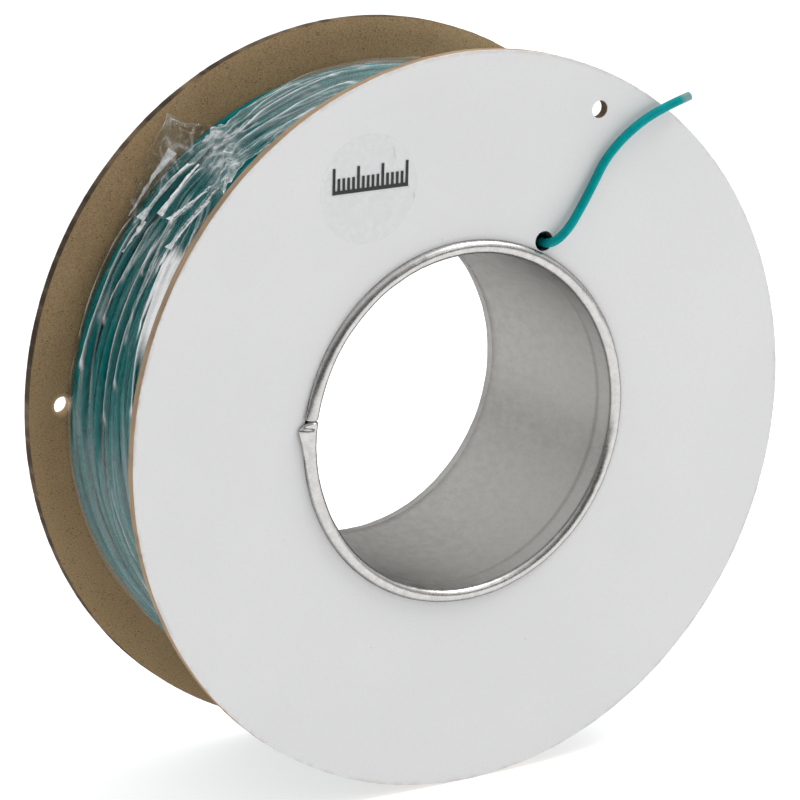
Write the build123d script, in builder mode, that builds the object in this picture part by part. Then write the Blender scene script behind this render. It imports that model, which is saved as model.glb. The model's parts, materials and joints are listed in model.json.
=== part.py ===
"""Wire spool: chipboard flanges on a curled tinplate core, wound with insulated wire.

The spool's axis is Y and its front flange faces -Y. Z is up. The origin is on the axis, at the middle
of the core's length. All sizes are in millimetres.
"""

import os
from math import cos, pi, radians, sin, tan

from build123d import *

os.makedirs("parts", exist_ok=True)

# ---------------------------------------------------------------- driving dimensions

# whole spool
flange_d = 220.0            # outside diameter of both flanges
overall_width = 70.0        # from rim face to rim face
bore_d = 100.0              # straight bore of the core

# tinplate core
sheet_t = 0.3               # tinplate thickness
curl_r = 2.0                # outside radius of the curled end's section
curl_sweep = 240.0          # how far the curl turns, from the bore round to its lip
end_expansion = 0.3         # the last stretch of the core is pressed out by this radius
end_length = 6.0            # length of the pressed-out stretch, up to the curl's centre
core_half = 33.7            # from the middle of the core to the curl's centre
seam_angle = 171.4          # where the sheet's two edges are locked together
seam_w = 6.0                # width of the locked fold on the outside of the core
seam_t = 0.9                # height of the fold, three sheets of tinplate
seam_slit_w = 0.5           # gap that shows at the seam in the bore and in both curls

# flanges: a chipboard disc with white paper glued to its outer face
board_t = 3.0
paper_t = 0.3
board_gap = 0.1             # between the core and the edge of the flange's middle hole
curl_gap = 0.1              # between the curl and the hollow it is pressed into

# small holes for the wire's ends; angles turn from +X towards +Z
core_hole_d = 6.0
core_hole_r = 57.6
rim_hole_d = 5.3
rim_hole_r = 99.1
front_core_hole_angle = 62.5
front_rim_hole_angle = 63.5
back_hole_angle = 177.7

# winding
wire_d = 2.7
winding_r = 95.6            # outside radius, to the crests of the outermost turns
winding_gap = 0.1           # to the boards

# stretch film round the winding, ten turns or so of thin film pulled tight
film_t = 0.25
film_gap = 0.1
knot_angle = 127.0          # where the film is drawn together and tied
knot_y = 3.0
knot_across = 26.0          # along the spool's axis
knot_along = 14.0           # round the winding
knot_height = 2.4
knot_top = 0.4              # size of the knot's top as a share of its foot

# clear round sticker with a printed length scale
label_d = 32.0
label_t = 0.1
label_x = -33.3
label_z = 73.5
ink_t = 0.05
scale_x = -32.8
scale_base_z = 72.9
scale_w = 25.0
scale_ticks = 16
long_tick = 7.6
short_tick = 4.6
tick_w = 0.9
base_line_w = 1.1

# wire's inner end, which leaves through the front flange's inner hole
conductor_d = 1.3
conductor_gap = 0.05

# ---------------------------------------------------------------- worked-out sizes

bore_r = bore_d / 2
flange_r = flange_d / 2
tube_r = bore_r + sheet_t
end_bore_r = bore_r + end_expansion
end_tube_r = end_bore_r + sheet_t
curl_centre_r = end_bore_r + curl_r
curl_outer_r = curl_centre_r + curl_r
end_y = core_half - end_length

front_rim_y = overall_width - core_half          # the front flange's rim stands proud of its hub
front_dish = front_rim_y - core_half
dish_slope = front_dish / (flange_r - curl_outer_r)
flange_t = board_t + paper_t
inner_half = core_half - flange_t                # hub, from the middle to a board's inner face
board_hole_r = end_tube_r + board_gap
hollow_r = curl_r + curl_gap

inner_r = end_tube_r + winding_gap
film_inner_r = winding_r + film_gap
film_outer_r = film_inner_r + film_t


def front_face(radius):
    """Y of the front flange's outer face at a distance from the axis."""
    return -core_half - dish_slope * (radius - curl_outer_r)


def around(radius, angle):
    """X and Z of a point on a circle round the axis."""
    return radius * cos(radians(angle)), radius * sin(radians(angle))


# ---------------------------------------------------------------- core

with BuildPart() as core_tube:
    with BuildSketch(Plane.XY):
        with BuildLine():
            Polyline(
                (bore_r, 0),
                (bore_r, end_y),
                (end_bore_r, end_y + end_expansion),
                (end_bore_r, core_half),
                (end_tube_r, core_half),
                (end_tube_r, end_y + end_expansion),
                (tube_r, end_y),
                (tube_r, 0),
                close=True,
            )
        make_face()
        with BuildLine():
            outside = CenterArc((curl_centre_r, core_half), curl_r, 180, -curl_sweep)
            inside = CenterArc((curl_centre_r, core_half), curl_r - sheet_t, 180, -curl_sweep)
            Line(outside @ 0, inside @ 0)
            Line(outside @ 1, inside @ 1)
        make_face()
        mirror(about=Plane.XZ)
    revolve(axis=Axis.Y)
    # the locked fold lies on the outside, between the boards
    with BuildSketch(Plane.XZ.offset(inner_half - winding_gap)) as fold:
        with Locations(around(tube_r + seam_t / 2 - sheet_t / 2, seam_angle)):
            Rectangle(seam_t + sheet_t, seam_w, rotation=seam_angle)
        Circle(tube_r - sheet_t / 2, mode=Mode.SUBTRACT)
    extrude(amount=-2 * (inner_half - winding_gap))
    # the sheet's edges don't quite meet in the curls
    for side in (-1, 1):
        with BuildSketch(Plane.XZ.offset(-side * (core_half + 2 * curl_r))):
            with Locations(around(curl_centre_r + curl_r, seam_angle)):
                Rectangle(4 * curl_r, seam_slit_w, rotation=seam_angle)
            Circle(end_tube_r + sheet_t / 2, mode=Mode.SUBTRACT)
        extrude(amount=side * 4 * curl_r, mode=Mode.SUBTRACT)
core_tube.part.label = "core_tube"

# ---------------------------------------------------------------- flanges

with BuildPart() as front_board:
    with BuildSketch(Plane.XY):
        with BuildLine():
            Polyline(
                (board_hole_r, -core_half + flange_t),
                (curl_outer_r, -core_half + flange_t),
                (flange_r, -front_rim_y + flange_t),
                (flange_r, -front_rim_y + paper_t),
                (curl_outer_r, -core_half + paper_t),
                (board_hole_r, -core_half + paper_t),
                close=True,
            )
        make_face()
        with Locations((curl_centre_r, -core_half)):
            Circle(hollow_r, mode=Mode.SUBTRACT)
    revolve(axis=Axis.Y)
    with BuildSketch(Plane.XZ.offset(overall_width)):
        with Locations(around(core_hole_r, front_core_hole_angle)):
            Circle(core_hole_d / 2)
        with Locations(around(rim_hole_r, front_rim_hole_angle)):
            Circle(rim_hole_d / 2)
    extrude(amount=-overall_width, mode=Mode.SUBTRACT)
front_board.part.label = "front_board"

with BuildPart() as front_paper:
    with BuildSketch(Plane.XY):
        with BuildLine():
            Polyline(
                (curl_outer_r, -core_half + paper_t),
                (flange_r, -front_rim_y + paper_t),
                (flange_r, -front_rim_y),
                (curl_outer_r, -core_half),
                close=True,
            )
        make_face()
        with Locations((curl_centre_r, -core_half)):
            Circle(hollow_r, mode=Mode.SUBTRACT)
    revolve(axis=Axis.Y)
    with BuildSketch(Plane.XZ.offset(overall_width)):
        with Locations(around(core_hole_r, front_core_hole_angle)):
            Circle(core_hole_d / 2)
        with Locations(around(rim_hole_r, front_rim_hole_angle)):
            Circle(rim_hole_d / 2)
    extrude(amount=-overall_width, mode=Mode.SUBTRACT)
front_paper.part.label = "front_paper"

with BuildPart() as back_board:
    with BuildSketch(Plane.XY):
        with Locations(((board_hole_r + flange_r) / 2, core_half - flange_t + board_t / 2)):
            Rectangle(flange_r - board_hole_r, board_t)
        with Locations((curl_centre_r, core_half)):
            Circle(hollow_r, mode=Mode.SUBTRACT)
    revolve(axis=Axis.Y)
    with BuildSketch(Plane.XZ):
        with Locations(around(core_hole_r, back_hole_angle)):
            Circle(core_hole_d / 2)
        with Locations(around(rim_hole_r, back_hole_angle)):
            Circle(rim_hole_d / 2)
    extrude(amount=-overall_width, mode=Mode.SUBTRACT)
back_board.part.label = "back_board"

with BuildPart() as back_paper:
    with BuildSketch(Plane.XY):
        with Locations(((curl_outer_r + flange_r) / 2, core_half - paper_t / 2)):
            Rectangle(flange_r - curl_outer_r, paper_t)
        with Locations((curl_centre_r, core_half)):
            Circle(hollow_r, mode=Mode.SUBTRACT)
    revolve(axis=Axis.Y)
    with BuildSketch(Plane.XZ):
        with Locations(around(core_hole_r, back_hole_angle)):
            Circle(core_hole_d / 2)
        with Locations(around(rim_hole_r, back_hole_angle)):
            Circle(rim_hole_d / 2)
    extrude(amount=-overall_width, mode=Mode.SUBTRACT)
back_paper.part.label = "back_paper"

# ---------------------------------------------------------------- winding

# the wound wire as one ring: its sides follow the boards, and its outside shows the outermost turns
winding_back_y = inner_half - winding_gap
winding_front_hub_y = -winding_back_y
winding_front_rim_y = front_face(winding_r) + flange_t + winding_gap
turn_count = int((winding_back_y - winding_front_rim_y) / wire_d)
first_turn_y = (winding_back_y + winding_front_rim_y - turn_count * wire_d) / 2 + wire_d / 2

with BuildPart() as wire_winding:
    with BuildSketch(Plane.XY):
        with BuildLine():
            Polyline(
                (inner_r, winding_front_hub_y),
                (curl_outer_r, winding_front_hub_y),
                (winding_r - wire_d / 2, front_face(winding_r - wire_d / 2) + flange_t + winding_gap),
                (winding_r - wire_d / 2, winding_back_y),
                (inner_r, winding_back_y),
                close=True,
            )
        make_face()
        for turn in range(turn_count):
            with Locations((winding_r - wire_d / 2, first_turn_y + turn * wire_d)):
                Circle(wire_d / 2)
    revolve(axis=Axis.Y)
    # room for the core's locked fold under the first layer
    with BuildSketch(Plane.XZ.offset(overall_width)):
        with Locations(around(tube_r, seam_angle)):
            Rectangle(2 * (seam_t + winding_gap), seam_w + 1, rotation=seam_angle)
    extrude(amount=-2 * overall_width, mode=Mode.SUBTRACT)
wire_winding.part.label = "wire_winding"

# ---------------------------------------------------------------- stretch film

with BuildPart() as stretch_film:
    with BuildSketch(Plane.XY):
        with BuildLine():
            Polyline(
                (film_inner_r, front_face(film_inner_r) + flange_t + winding_gap),
                (film_outer_r, front_face(film_inner_r) + flange_t + winding_gap),
                (film_outer_r, winding_back_y),
                (film_inner_r, winding_back_y),
                close=True,
            )
        make_face()
    revolve(axis=Axis.Y)
    # the gathered knot: a flattened lump on top of the film
    knot_x, knot_z = around(film_outer_r, knot_angle)
    knot_plane = Plane(origin=(knot_x, knot_y, knot_z), x_dir=(0, 1, 0), z_dir=(knot_x, 0, knot_z))
    with BuildSketch(knot_plane.offset(-knot_height / 2)):
        Ellipse(knot_across / 2, knot_along / 2)
    with BuildSketch(knot_plane.offset(knot_height)):
        Ellipse(knot_top * knot_across / 2, knot_top * knot_along / 2)
    loft()
    with BuildSketch(Plane.XZ.offset(overall_width)):
        Circle(film_inner_r)
    extrude(amount=-2 * overall_width, mode=Mode.SUBTRACT)
stretch_film.part.label = "stretch_film"

# ---------------------------------------------------------------- label

label_r = (label_x**2 + label_z**2) ** 0.5
label_near = label_r - label_d
label_far = label_r + label_d

with BuildPart() as length_label:
    with BuildSketch(Plane.XY):
        with BuildLine():
            Polyline(
                (label_near, front_face(label_near)),
                (label_far, front_face(label_far)),
                (label_far, front_face(label_far) - label_t),
                (label_near, front_face(label_near) - label_t),
                close=True,
            )
        make_face()
    revolve(axis=Axis.Y)
    with BuildSketch(Plane.XZ.offset(overall_width)):
        with Locations((label_x, label_z)):
            Circle(label_d / 2)
    extrude(amount=-overall_width, mode=Mode.INTERSECT)
length_label.part.label = "length_label"

with BuildPart() as label_print:
    with BuildSketch(Plane.XY):
        with BuildLine():
            Polyline(
                (label_near, front_face(label_near) - label_t),
                (label_far, front_face(label_far) - label_t),
                (label_far, front_face(label_far) - label_t - ink_t),
                (label_near, front_face(label_near) - label_t - ink_t),
                close=True,
            )
        make_face()
    revolve(axis=Axis.Y)
    tick_pitch = (scale_w - tick_w) / (scale_ticks - 1)
    with BuildSketch(Plane.XZ.offset(overall_width)):
        with Locations((scale_x, scale_base_z + base_line_w / 2)):
            Rectangle(scale_w, base_line_w)
        for tick in range(scale_ticks):
            tick_x = scale_x - scale_w / 2 + tick_w / 2 + tick * tick_pitch
            tick_h = long_tick if tick % 5 == 0 else short_tick
            with Locations((tick_x, scale_base_z + tick_h / 2)):
                Rectangle(tick_w, tick_h)
    extrude(amount=-overall_width, mode=Mode.INTERSECT)
label_print.part.label = "label_print"

# ---------------------------------------------------------------- the wire's inner end

# from the winding's side, out through the inner hole, across the flange and past its rim
tail_points = [
    (27.7, -30.6, 50.1),
    (27.7, -35.8, 50.1),
    (32.7, -36.9, 54.1),
    (37.1, -36.9, 60.1),
    (41.4, -37.0, 67.0),
    (45.7, -37.5, 74.9),
    (54.0, -38.2, 82.4),
    (64.0, -38.7, 87.6),
    (73.9, -39.1, 90.4),
]
tail_radii = []
for before, corner, after in zip(tail_points, tail_points[1:], tail_points[2:]):
    run_in = Vector(*corner) - Vector(*before)
    run_out = Vector(*after) - Vector(*corner)
    half_turn = radians(run_in.get_angle(run_out) / 2)
    tail_radii.append(0.45 * min(run_in.length, run_out.length) / tan(half_turn))

with BuildPart() as wire_tail:
    with BuildLine() as tail_line:
        FilletPolyline(*tail_points, radius=tail_radii)
    with BuildSketch(Plane(origin=tail_line.line @ 0, z_dir=tail_line.line % 0)):
        Circle(wire_d / 2)
        Circle(conductor_d / 2 + conductor_gap, mode=Mode.SUBTRACT)
    sweep()
wire_tail.part.label = "wire_tail"

with BuildPart() as tail_conductor:
    with BuildLine() as conductor_line:
        FilletPolyline(*tail_points, radius=tail_radii)
    with BuildSketch(Plane(origin=conductor_line.line @ 0, z_dir=conductor_line.line % 0)):
        Circle(conductor_d / 2)
    sweep()
tail_conductor.part.label = "tail_conductor"

# ---------------------------------------------------------------- export

for node in (
    core_tube,
    front_board,
    front_paper,
    back_board,
    back_paper,
    wire_winding,
    stretch_film,
    length_label,
    label_print,
    wire_tail,
    tail_conductor,
):
    export_step(node.part, f"parts/{node.part.label}.step")
    box = node.part.bounding_box()
    print(f"{node.part.label:16s} {node.part.volume:12.1f} mm3  solids {len(node.part.solids())}", box.min, box.max)

tail_length = sum(edge.length for edge in tail_line.line.edges())
tail_section = pi * (wire_d**2 / 4 - (conductor_d / 2 + conductor_gap) ** 2)
print("tail bend radii", [round(value, 1) for value in tail_radii])
print(f"tail length {tail_length:.1f}, volume {wire_tail.part.volume:.1f}, expected {tail_section * tail_length:.1f}")
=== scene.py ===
"""Wire spool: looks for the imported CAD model. Units are metres in the row frame.

The axis is +Y, the front flange faces -Y and +Z is up. Lengths below are in millimetres where
they are multiplied by MM.
"""

import json
import math

import bmesh
import bpy
import numpy as np
from mathutils import Matrix, Vector
from numpy.lib.stride_tricks import sliding_window_view


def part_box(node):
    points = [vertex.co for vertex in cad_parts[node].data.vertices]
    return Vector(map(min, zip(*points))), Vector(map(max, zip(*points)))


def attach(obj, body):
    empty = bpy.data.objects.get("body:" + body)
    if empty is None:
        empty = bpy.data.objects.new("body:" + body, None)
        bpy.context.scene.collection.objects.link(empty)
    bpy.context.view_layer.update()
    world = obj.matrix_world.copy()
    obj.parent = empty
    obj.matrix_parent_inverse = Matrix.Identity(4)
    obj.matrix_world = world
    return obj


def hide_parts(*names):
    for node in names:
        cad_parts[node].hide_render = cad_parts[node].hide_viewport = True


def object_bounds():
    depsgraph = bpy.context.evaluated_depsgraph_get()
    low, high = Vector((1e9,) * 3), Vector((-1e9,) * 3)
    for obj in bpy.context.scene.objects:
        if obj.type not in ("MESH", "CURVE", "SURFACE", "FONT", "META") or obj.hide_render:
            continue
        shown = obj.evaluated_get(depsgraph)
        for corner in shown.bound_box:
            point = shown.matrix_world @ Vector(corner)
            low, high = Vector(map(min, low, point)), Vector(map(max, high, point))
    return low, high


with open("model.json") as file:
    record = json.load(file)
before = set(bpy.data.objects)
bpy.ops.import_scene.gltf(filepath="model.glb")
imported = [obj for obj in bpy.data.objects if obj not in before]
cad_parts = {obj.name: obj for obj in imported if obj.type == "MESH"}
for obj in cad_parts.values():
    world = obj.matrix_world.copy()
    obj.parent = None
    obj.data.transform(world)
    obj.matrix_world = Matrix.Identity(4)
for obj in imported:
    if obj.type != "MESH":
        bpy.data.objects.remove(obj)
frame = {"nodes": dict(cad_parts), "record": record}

cad_low, cad_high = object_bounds()
MM = 0.001

# -------- sizes, from the CAD frame


def mm_box(node):
    """Lowest and highest corner of a CAD node, in millimetres."""
    low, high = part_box(node)
    return np.array(low) / MM, np.array(high) / MM


flange_r = mm_box("front_board")[1][0]
front_rim_y = mm_box("front_paper")[0][1]
curl_tip_y = mm_box("core_tube")[1][1]
core_mount = next(m for m in frame["record"]["mounts"] if m["name"] == "core_bore")
bore_r = core_mount["dims"]["r_mm"]

sheet_t = 0.3
end_expansion = 0.3
end_length = 6.0
curl_r = 2.0
curl_sweep = 240.0
seam_angle = 171.4
board_t = 3.0
paper_t = 0.3
board_gap = 0.1
hub_face_y = curl_tip_y - curl_r                      # the curl's centre lies on the hub face
curl_centre_r = bore_r + end_expansion + curl_r
curl_outer_r = curl_centre_r + curl_r
board_hole_r = bore_r + end_expansion + sheet_t + board_gap
dish = -front_rim_y - hub_face_y
dish_slope = dish / (flange_r - curl_outer_r)
inner_half = hub_face_y - board_t - paper_t
wire_r = 1.35

core_hole_r, core_hole_d = 57.6, 6.0
rim_hole_r, rim_hole_d = 99.1, 5.3
front_core_hole_angle = 62.5
front_rim_hole_angle = 63.5
back_hole_angle = 177.7


def front_y(radius):
    """Y of the front flange's outer face at a distance from the axis, in millimetres."""
    return -hub_face_y - dish_slope * np.maximum(np.asarray(radius, float) - curl_outer_r, 0)


def around(radius, angle):
    """x and z of a point at this distance from the axis and this angle in degrees."""
    return radius * math.cos(math.radians(angle)), radius * math.sin(math.radians(angle))


# -------- mesh helpers


def make_mesh(name, points, faces, smooth=True, sharp=None):
    """A mesh object from points in millimetres."""
    mesh = bpy.data.meshes.new(name)
    mesh.from_pydata((np.asarray(points, float) * MM).tolist(), [], [list(map(int, f)) for f in faces])
    mesh.update()
    if smooth:
        mesh.polygons.foreach_set("use_smooth", [True] * len(mesh.polygons))
        if sharp is not None:
            mesh.set_sharp_from_angle(angle=math.radians(sharp))
    obj = bpy.data.objects.new(name, mesh)
    bpy.context.scene.collection.objects.link(obj)
    return obj


def grid_faces(rows, columns, wrap_rows=False, wrap_columns=False, flip=False):
    """Quads over a grid of points stored row by row."""
    i = np.arange(rows if wrap_rows else rows - 1)
    j = np.arange(columns if wrap_columns else columns - 1)
    a, b = np.meshgrid(i, j, indexing="ij")
    a2, b2 = (a + 1) % rows, (b + 1) % columns
    corners = [a * columns + b, a2 * columns + b, a2 * columns + b2, a * columns + b2]
    quads = np.stack(corners, -1).reshape(-1, 4)
    return quads[:, ::-1] if flip else quads


def ring_noise(turn, cells, seed):
    """Smooth noise from -1 to 1 with this many cells in a turn."""
    return lattice_noise(turn, 0 * turn, cells, 1, seed)


def tube_faces(rings, sides):
    """Faces of a tube of rings, with both ends closed."""
    faces = [tuple(f) for f in grid_faces(rings, sides, False, True)]
    return faces + [tuple(range(sides - 1, -1, -1)), tuple(range((rings - 1) * sides, rings * sides))]


def smooth_step(x, low, high):
    """0 below low, 1 above high, with a smooth rise between them."""
    t = np.clip((np.asarray(x, float) - low) / (high - low), 0, 1)
    return t * t * (3 - 2 * t)


def lattice_noise(u, v, nu, nv, seed):
    """Smooth noise from -1 to 1; u wraps at 1 with nu cells, v runs 0 to 1 with nv cells."""
    table = np.random.default_rng(seed).uniform(-1, 1, (nu, nv + 2))
    x = np.asarray(u) % 1 * nu
    y = np.clip(np.asarray(v), 0, 1) * nv
    i, j = np.floor(x).astype(int) % nu, np.floor(y).astype(int)
    fx, fy = x - np.floor(x), y - np.floor(y)
    fx, fy = fx * fx * (3 - 2 * fx), fy * fy * (3 - 2 * fy)
    i2, j2 = (i + 1) % nu, np.minimum(j + 1, nv + 1)
    top = table[i, j] * (1 - fx) + table[i2, j] * fx
    bottom = table[i, j2] * (1 - fx) + table[i2, j2] * fx
    return top * (1 - fy) + bottom * fy


def grid(down, across):
    """Two grids that hold the values down the rows and across the columns."""
    return np.meshgrid(down, across, indexing="ij")


def round_points(r, y, a):
    """Points from grids of radii, y values and angles in degrees."""
    t = np.radians(a)
    return np.stack([r * np.cos(t), y, r * np.sin(t)], -1).reshape(-1, 3)


def revolve(name, profile, angles, shape, sharp=35):
    """A closed profile of (radius, y) turned round the axis. shape(r, y, angle) moves its points."""
    radii, ys = np.asarray(profile, float).T
    a, r = grid(angles, radii)
    r, y = shape(r, grid(angles, ys)[1], a)
    faces = grid_faces(len(angles), len(profile), True, True)
    return make_mesh(name, round_points(r, y, a), faces, sharp=sharp)


def cylinder(name, centre, radius, y0, y1, segments=72):
    """A plain cylinder along Y, used as a cutter. centre is its x and z."""
    t = np.arange(segments) / segments * 2 * np.pi
    x, z = centre[0] + radius * np.cos(t), centre[1] + radius * np.sin(t)
    points = [np.stack([x, np.full(segments, y), z], -1) for y in (y0, y1)]
    return make_mesh(name, np.vstack(points), tube_faces(2, segments), smooth=False)


def outward(obj):
    """Turns all faces outward."""
    bm = bmesh.new()
    bm.from_mesh(obj.data)
    bmesh.ops.recalc_face_normals(bm, faces=bm.faces)
    bm.to_mesh(obj.data)
    bm.free()
    return obj


def cut(obj, cutters, sharp=35):
    """Cuts the cutters out of obj for good, and removes them."""
    outward(obj)
    for cutter in cutters:
        outward(cutter)
        modifier = obj.modifiers.new("cut", "BOOLEAN")
        modifier.operation = "DIFFERENCE"
        modifier.solver = "EXACT"
        modifier.object = cutter
    depsgraph = bpy.context.evaluated_depsgraph_get()
    mesh = bpy.data.meshes.new_from_object(obj.evaluated_get(depsgraph))
    old = obj.data
    obj.modifiers.clear()
    obj.data = mesh
    mesh.name = obj.name
    bpy.data.meshes.remove(old)
    mesh.polygons.foreach_set("use_smooth", [True] * len(mesh.polygons))
    mesh.set_sharp_from_angle(angle=math.radians(sharp))
    for cutter in cutters:
        bpy.data.objects.remove(cutter)
    return obj


def place(obj, material, slot, *nodes):
    """Gives a piece its material, hangs it under the root body, and hides the CAD nodes that it replaces.
    slot is not used.
    """
    obj.data.materials.clear()
    obj.data.materials.append(material)
    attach(obj, "root")
    if nodes:
        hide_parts(*nodes)
    return obj


# -------- material helpers


class Paint:
    """The node tree of a material or a world, with short calls for the nodes used here."""

    def __init__(self, name, world=False):
        self.owner = (bpy.data.worlds if world else bpy.data.materials).new(name)
        self.owner.use_nodes = True
        self.tree = self.owner.node_tree
        self.tree.nodes.clear()
        self.out = self.node("OutputWorld" if world else "OutputMaterial")
        self.at = self.node("TexCoord").outputs["Generated" if world else "Object"]

    def node(self, kind, **settings):
        """Adds a shader node. settings are its own values, such as its operation."""
        made = self.tree.nodes.new("ShaderNode" + kind)
        for key, value in settings.items():
            setattr(made, key, value)
        return made

    def put(self, socket, value):
        """Gives an input a value, or links another node's output to it."""
        if isinstance(value, bpy.types.NodeSocket):
            self.tree.links.new(value, socket)
        else:
            socket.default_value = value

    def fill(self, made, **values):
        """Gives a node's inputs these values or links, and returns its outputs."""
        for key, value in values.items():
            self.put(made.inputs[key.replace("_", " ")], value)
        return made.outputs

    def stretch(self, scale):
        return self.fill(self.node("Mapping"), Vector=self.at, Scale=scale)["Vector"]

    def noise(self, scale, detail=4.0, rough=0.55, vector=None, distortion=0.0):
        """Fractal noise from 0 to 1. scale is in cells per metre."""
        values = {"Scale": scale, "Detail": detail, "Roughness": rough, "Distortion": distortion}
        return self.fill(self.node("TexNoise"), Vector=vector or self.at, **values)["Fac"]

    def cells(self, scale, vector=None):
        return self.fill(self.node("TexVoronoi"), Vector=vector or self.at, Scale=scale)

    def ramp(self, value, low, high, to_low=0.0, to_high=1.0):
        """A smooth step of the value between low and high."""
        made = self.node("MapRange", interpolation_type="SMOOTHSTEP")
        ends = {"From_Min": low, "From_Max": high, "To_Min": to_low, "To_Max": to_high}
        return self.fill(made, Value=value, **ends)["Result"]

    def math(self, operation, a, b, kind="Math", output="Value"):
        made = self.node(kind, operation=operation)
        self.put(made.inputs[0], a)
        self.put(made.inputs[1], b)
        return made.outputs[output]

    def vector(self, operation, a, b, output="Value"):
        return self.math(operation, a, b, "VectorMath", output)

    def times(self, a, b):
        return self.math("MULTIPLY", a, b)

    def plus(self, a, b):
        return self.math("ADD", a, b)

    def mix(self, factor, a, b, blend="MIX"):
        made = self.node("Mix", data_type="RGBA", blend_type=blend)
        self.put(made.inputs["Factor"], factor)
        self.put(made.inputs[6], a if not isinstance(a, tuple) else (*a, 1.0))
        self.put(made.inputs[7], b if not isinstance(b, tuple) else (*b, 1.0))
        return made.outputs[2]

    def from_axis(self, centre=(0.0, 0.0)):
        """Distance in metres from a line along Y through centre (x, z)."""
        flat = self.vector("MULTIPLY", self.at, (1, 0, 1), "Vector")
        return self.vector("DISTANCE", flat, (centre[0], 0, centre[1]))

    def bump(self, height, distance, strength):
        return self.fill(self.node("Bump"), Strength=strength, Distance=distance, Height=height)["Normal"]

    def principled(self, colour, roughness, normal=None, **values):
        if normal is not None:
            values["Normal"] = normal
        base = (*colour, 1.0) if isinstance(colour, tuple) else colour
        return self.fill(self.node("BsdfPrincipled"), Base_Color=base, Roughness=roughness, **values)[0]

    def plain(self, kind, colour):
        """A simple shader of one colour."""
        made = self.node(kind)
        self.fill(made, Color=(*colour, 1.0))
        return made

    def blend(self, factor, below, above):
        """Mixes two shaders."""
        made = self.node("MixShader")
        for socket, value in zip(made.inputs, (factor, below, above)):
            self.put(socket, value)
        return made.outputs[0]

    def done(self, shader):
        """Links the shader to the output, and returns the finished material or world."""
        self.fill(self.out, Surface=shader)
        return self.owner


def scaled(colour, share):
    return tuple(c * share for c in colour)


def srgb(r, g, b):
    """Linear colour from 8-bit display values."""
    return tuple((c / 255 / 12.92) if c <= 10 else ((c / 255 + 0.055) / 1.055) ** 2.4 for c in (r, g, b))


# -------- materials


def chipboard(name, base, dark, light, rim, hole=None):
    """Grey-brown board: felted fibres, dark flecks, and thin layers on its cut edge.

    base, dark and light are the face's colours and rim the cut edge's. hole is the x, z and radius of
    a hole whose edge is bruised pale.
    """
    p = Paint(name)
    cloud = p.ramp(p.noise(45, 3), 0.3, 0.7)
    fibre = p.noise(2100, 5, 0.7)
    long_fibre = p.noise(900, 4, 0.7, p.stretch((1, 2.6, 3.2)), 1.0)
    colour = p.mix(p.ramp(fibre, 0.3, 0.72), dark, light)
    colour = p.mix(p.ramp(long_fibre, 0.35, 0.7, 0.0, 0.65), colour, base)
    colour = p.mix(p.times(cloud, 0.3), colour, p.mix(0.5, colour, light, "MULTIPLY"))
    fleck = p.cells(900, p.stretch((1.0, 1.0, 1.7)))
    rare = p.ramp(p.noise(420, 2), 0.50, 0.62)
    spot = p.times(p.ramp(fleck["Distance"], 0.42, 0.18), rare)
    colour = p.mix(p.times(spot, 0.55), colour, scaled(dark, 0.3))
    big = p.cells(95)
    dot = p.times(p.ramp(big["Distance"], 0.085, 0.05), p.ramp(p.noise(60, 1), 0.6, 0.66))
    colour = p.mix(p.times(dot, 0.5), colour, scaled(dark, 0.2))
    # the cut edge has its own colour, in lighter and darker streaks along the board's layers
    away = p.from_axis()
    edge = p.ramp(away, (flange_r - 0.35) * MM, (flange_r - 0.05) * MM)
    layers = p.noise(160, 3, 0.6, p.stretch((0.25, 18.0, 0.25)))
    edge_colour = p.mix(p.ramp(layers, 0.3, 0.7), scaled(rim, 0.65), scaled(rim, 1.2))
    colour = p.mix(edge, colour, edge_colour)
    height = p.plus(p.times(fibre, 0.6), p.times(long_fibre, 0.5))
    height = p.plus(height, p.times(p.times(layers, edge), 1.2))
    if hole is not None:
        off = p.from_axis((hole[0] * MM, hole[1] * MM))
        ring = p.ramp(off, (hole[2] + 1.3) * MM, (hole[2] + 0.35) * MM)
        colour = p.mix(p.times(ring, 0.55), colour, tuple(min(c * 1.35, 1) for c in light))
        height = p.math("SUBTRACT", height, p.times(ring, 0.8))
    normal = p.bump(height, 0.00016, 0.75)
    rough = p.ramp(fibre, 0.2, 0.8, 0.78, 0.95)
    return p.done(p.principled(colour, rough, normal, Specular_IOR_Level=0.25))


def paper(name):
    """Smooth white liner paper: faint cloudiness and fibres, rubbed a little at its outer edge, and painted
    grey beside the curl as shade.
    """
    p = Paint(name)
    cloud = p.noise(16, 4, 0.5)
    grain = p.noise(1500, 4, 0.6)
    colour = p.mix(p.ramp(cloud, 0.3, 0.7), (0.700, 0.702, 0.705), (0.730, 0.731, 0.733))
    colour = p.mix(p.ramp(grain, 0.3, 0.75, 0.0, 0.35), colour, (0.65, 0.65, 0.65))
    away = p.from_axis()
    at_rim = p.ramp(away, (flange_r - 1.6) * MM, flange_r * MM)
    rub = p.times(at_rim, p.ramp(p.noise(150, 4, 0.7), 0.42, 0.62))
    colour = p.mix(p.times(rub, 0.45), colour, (0.46, 0.41, 0.36))
    # painted shade: a grey band on the paper just outside the curl, where the curl meets it
    painted_shade_by_curl = p.times(p.ramp(away, (curl_outer_r + 1.8) * MM, (curl_outer_r + 0.1) * MM), 0.22)
    colour = p.mix(painted_shade_by_curl, colour, (0.42, 0.42, 0.43))
    dot = p.ramp(p.cells(130)["Distance"], 0.05, 0.03)
    speck = p.times(dot, p.ramp(p.noise(70, 1), 0.62, 0.66))
    colour = p.mix(p.times(speck, 0.3), colour, (0.35, 0.33, 0.31))
    wave = p.noise(9, 2, 0.4)
    height = p.plus(p.times(grain, 0.012), p.times(wave, 1.0))
    normal = p.bump(height, 0.0012, 0.5)
    rough = p.ramp(p.noise(60, 3), 0.3, 0.7, 0.44, 0.56)
    return p.done(p.principled(colour, rough, normal, Specular_IOR_Level=0.38))


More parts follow.
